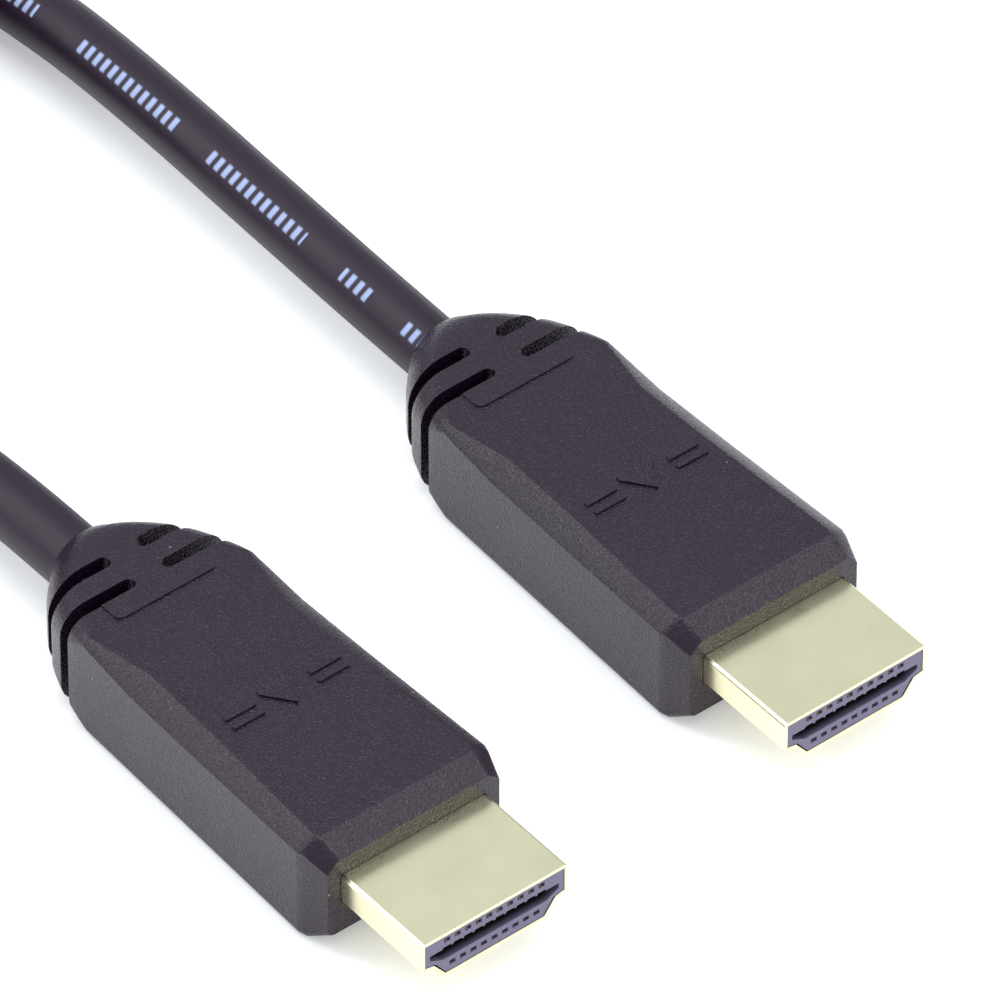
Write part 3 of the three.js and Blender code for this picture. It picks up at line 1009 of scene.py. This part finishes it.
class CABLE_OT_mouldings(bpy.types.Operator):
    """Models the moulding of a plug with its slotted relief, and copies it to the other"""

    bl_idname = "cable.mouldings"
    bl_label = "Mouldings"

    def execute(self, context):
        sizes, finishes = context.scene.cable_moulding, context.scene.cable_finishes
        rings = moulding_rings(sizes)
        rear = MOULDING_FRONT + sizes.block_length
        top = PLUG_AXIS.z + sizes.height / 2
        bpy.ops.object.select_all(action="DESELECT")
        bpy.ops.mesh.primitive_plane_add(size=1, location=(0, 0, 0))
        moulding = context.object
        moulding.name = moulding.data.name = "plug_a_moulding"
        edit(moulding)
        bpy.ops.mesh.select_all(action="SELECT")
        bpy.ops.mesh.delete(type="VERT")
        for index, (y, lift, half_width, half_height, upper, lower) in enumerate(rings):
            centre = Vector((PLUG_AXIS.x, y, PLUG_AXIS.z + lift))
            add_ring(centre, half_width, half_height, upper, lower)
            if 0 < index < len(rings) - 1:
                bpy.ops.mesh.delete(type="ONLY_FACE")
            if index:
                join_rings(rings[index - 1][0], y)
        bpy.ops.mesh.select_all(action="SELECT")
        bpy.ops.mesh.normals_make_consistent(inside=False)
        leave_edit()
        soften(moulding, 0.00014, 20)
        combine(moulding, add_tab(sizes, rear, top), "UNION")
        combine(moulding, add_marks(sizes, top), "UNION")
        combine(moulding, add_slot_cutters(sizes, rear), "DIFFERENCE")
        shell_sizes = context.scene.cable_shell
        seat = add_folded_form(
            "seat_cutter", shell_sizes, TIP_Y, SHELL_HIGH.y + 0.00005, 0.00005, shell_sizes.fold_radius
        )
        combine(moulding, seat, "DIFFERENCE")
        shade(moulding)
        finish = moulding_finish(tuple(finishes.moulding))
        twin = copy_to(moulding, "plug_b_moulding", PLUG_STEP)
        settle(moulding, finish, "overmould", "plug_a_overmould")
        settle(twin, finish, "overmould", "plug_b_overmould")
        return {"FINISHED"}


class CABLE_OT_shells(bpy.types.Operator):
    """Folds the plated shell of a plug, and copies it to the other"""

    bl_idname = "cable.shells"
    bl_label = "Shells"

    def execute(self, context):
        sizes, finishes = context.scene.cable_shell, context.scene.cable_finishes
        shell = add_folded_form(
            "plug_a_gold_shell", sizes, SHELL_LOW.y, SHELL_HIGH.y, 0, sizes.fold_radius
        )
        edit(shell)
        choose("FACE", lambda face: abs(face.normal.y) > 0.9)
        bpy.ops.mesh.delete(type="ONLY_FACE")
        leave_edit()
        apply_modifier(shell, "SOLIDIFY", thickness=sizes.wall, offset=-1, use_even_offset=True)
        soften(shell, 0.00006, 60)
        shade(shell)
        finish = plate_finish(tuple(finishes.plate))
        twin = copy_to(shell, "plug_b_gold_shell", PLUG_STEP)
        settle(shell, finish, "shell", "plug_a_shell")
        settle(twin, finish, "shell", "plug_b_shell")
        return {"FINISHED"}


CONTACT_PITCH = MM
# Rows of openings: how many, height over the axis, depth, half width and half height
OPENING_ROWS = (
    (UPPER_CONTACTS, 0.00142, 0.0055, 0.00028, 0.0002),
    (LOWER_CONTACTS, -0.00114, 0.0058, 0.00029, 0.0002),
    (UPPER_CONTACTS, 0.00067, 0.006, 0.0004, 0.0001),
)
# The long slot: half widths at its ends and its floor, and its top, step and floor from the axis
SLOT_HALF, SLOT_FLOOR_HALF = 0.00615, 0.0049
SLOT_TOP, SLOT_STEP, SLOT_FLOOR = 0.00062, 0.00014, -0.00047


class CABLE_OT_carriers(bpy.types.Operator):
    """Cuts the slot and the contact openings in the insulator, and copies it"""

    bl_idname = "cable.carriers"
    bl_label = "Contact carriers"

    def execute(self, context):
        sizes, finishes = context.scene.cable_shell, context.scene.cable_finishes
        axis = PLUG_AXIS
        front = CARRIER_LOW.y
        clearance, corner = 0.00003, 0.00012
        carrier = add_folded_form(
            "plug_a_insulator", sizes, front, CARRIER_HIGH.y, -sizes.wall - clearance, corner
        )
        slot = block(
            "slot_cutter",
            (axis.x - SLOT_HALF, front - 0.001, axis.z + SLOT_STEP),
            (axis.x + SLOT_HALF, front + 0.006, axis.z + SLOT_TOP),
        )
        edit(slot)
        choose("FACE", lambda face: face.normal.z < -0.9)
        bpy.ops.mesh.extrude_region_move(
            TRANSFORM_OT_translate={"value": (0, 0, SLOT_FLOOR - SLOT_STEP)}
        )
        bpy.ops.transform.resize(
            value=(SLOT_FLOOR_HALF / SLOT_HALF, 1, 1),
            center_override=(axis.x, front, axis.z + SLOT_FLOOR),
        )
        leave_edit()
        combine(carrier, slot, "DIFFERENCE")
        openings = None
        for count, height, depth, half, tall in OPENING_ROWS:
            for index in range(count):
                x = axis.x + (index - (count - 1) / 2) * CONTACT_PITCH
                low = (x - half, front - 0.001, axis.z + height - tall)
                high = (x + half, front + depth, axis.z + height + tall)
                if openings is None:
                    openings = block("openings", low, high)
                    edit(openings)
                else:
                    more_block(low, high)
        leave_edit()
        combine(carrier, openings, "DIFFERENCE")
        soften(carrier, 0.00002, 40, 1)
        shade(carrier, 25)
        twin = copy_to(carrier, "plug_b_insulator", PLUG_STEP)
        grey = tuple(finishes.insulator)
        # Each plug gets its own finish so that its painted shade in the openings starts at its own
        # front face
        near = insulator_finish("insulator_plastic_a", grey, front)
        far = insulator_finish("insulator_plastic_b", grey, front + PLUG_STEP.y)
        settle(carrier, near, "carrier", "plug_a_contact_carrier")
        settle(twin, far, "carrier", "plug_b_contact_carrier")
        return {"FINISHED"}


class CABLE_OT_contacts(bpy.types.Operator):
    """Models one stamped contact, and copies it to every opening of both plugs"""

    bl_idname = "cable.contacts"
    bl_label = "Contacts"

    def execute(self, context):
        finish = contact_finish(tuple(context.scene.cable_finishes.contact))
        first_low, first_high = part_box("plug_a_contact_01")
        shoulder = 0.0003
        body_low = (first_low.x, first_low.y + shoulder, first_low.z)
        master = block("plug_a_pin_01", body_low, first_high)
        centre = (first_low + first_high) / 2
        edit(master)
        choose("FACE", lambda face: face.normal.y < -0.9)
        bpy.ops.mesh.extrude_region_move(TRANSFORM_OT_translate={"value": (0, -shoulder, 0)})
        bpy.ops.transform.resize(
            value=(0.45, 1, 0.6), center_override=(centre.x - 0.0001, first_low.y, first_low.z)
        )
        choose("EDGE", lambda edge: runs_along(edge, 1))
        round_edges(0.00004, 2)
        bpy.ops.mesh.select_all(action="SELECT")
        bpy.ops.mesh.remove_doubles(threshold=1e-7)
        leave_edit()
        shade(master)
        for plug in "ab":
            for number in CONTACT_NUMBERS:
                node = f"plug_{plug}_contact_{number}"
                if (plug, number) == ("a", "01"):
                    continue
                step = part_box(node)[0] - first_low
                copy = copy_to(master, f"plug_{plug}_pin_{number}", step)
                settle(copy, finish, "contact", node)
        settle(master, finish, "contact", "plug_a_contact_01")
        return {"FINISHED"}


class CABLE_PT_panel(bpy.types.Panel):
    """Lists the pieces of the cable"""

    bl_idname = "CABLE_PT_panel"
    bl_label = "Display Cable"
    bl_space_type = "VIEW_3D"
    bl_region_type = "UI"
    bl_category = "Cable"

    def draw(self, context):
        for operator in OPERATORS:
            self.layout.operator(operator.bl_idname)
        for group in ("cable_moulding", "cable_shell", "cable_cord", "cable_finishes"):
            owner = getattr(context.scene, group)
            for key in owner.__annotations__:
                self.layout.prop(owner, key)


OPERATORS = (
    CABLE_OT_stage,
    CABLE_OT_cord,
    CABLE_OT_strap,
    CABLE_OT_mouldings,
    CABLE_OT_shells,
    CABLE_OT_carriers,
    CABLE_OT_contacts,
)
GROUPS = {
    "cable_moulding": MouldingSizes,
    "cable_shell": ShellSizes,
    "cable_cord": CordSizes,
    "cable_finishes": Finishes,
}


def register():
    for kind in (*GROUPS.values(), *OPERATORS, CABLE_PT_panel):
        bpy.utils.register_class(kind)
    for name, group in GROUPS.items():
        setattr(bpy.types.Scene, name, bpy.props.PointerProperty(type=group))


def unregister():
    for name in GROUPS:
        delattr(bpy.types.Scene, name)
    for kind in (CABLE_PT_panel, *reversed(OPERATORS), *reversed(GROUPS.values())):
        bpy.utils.unregister_class(kind)


def main():
    register()
    bpy.ops.cable.stage()
    bpy.ops.cable.cord()
    bpy.ops.cable.mouldings()
    bpy.ops.cable.shells()
    bpy.ops.cable.carriers()
    bpy.ops.cable.contacts()


if __name__ == "__main__":
    main()
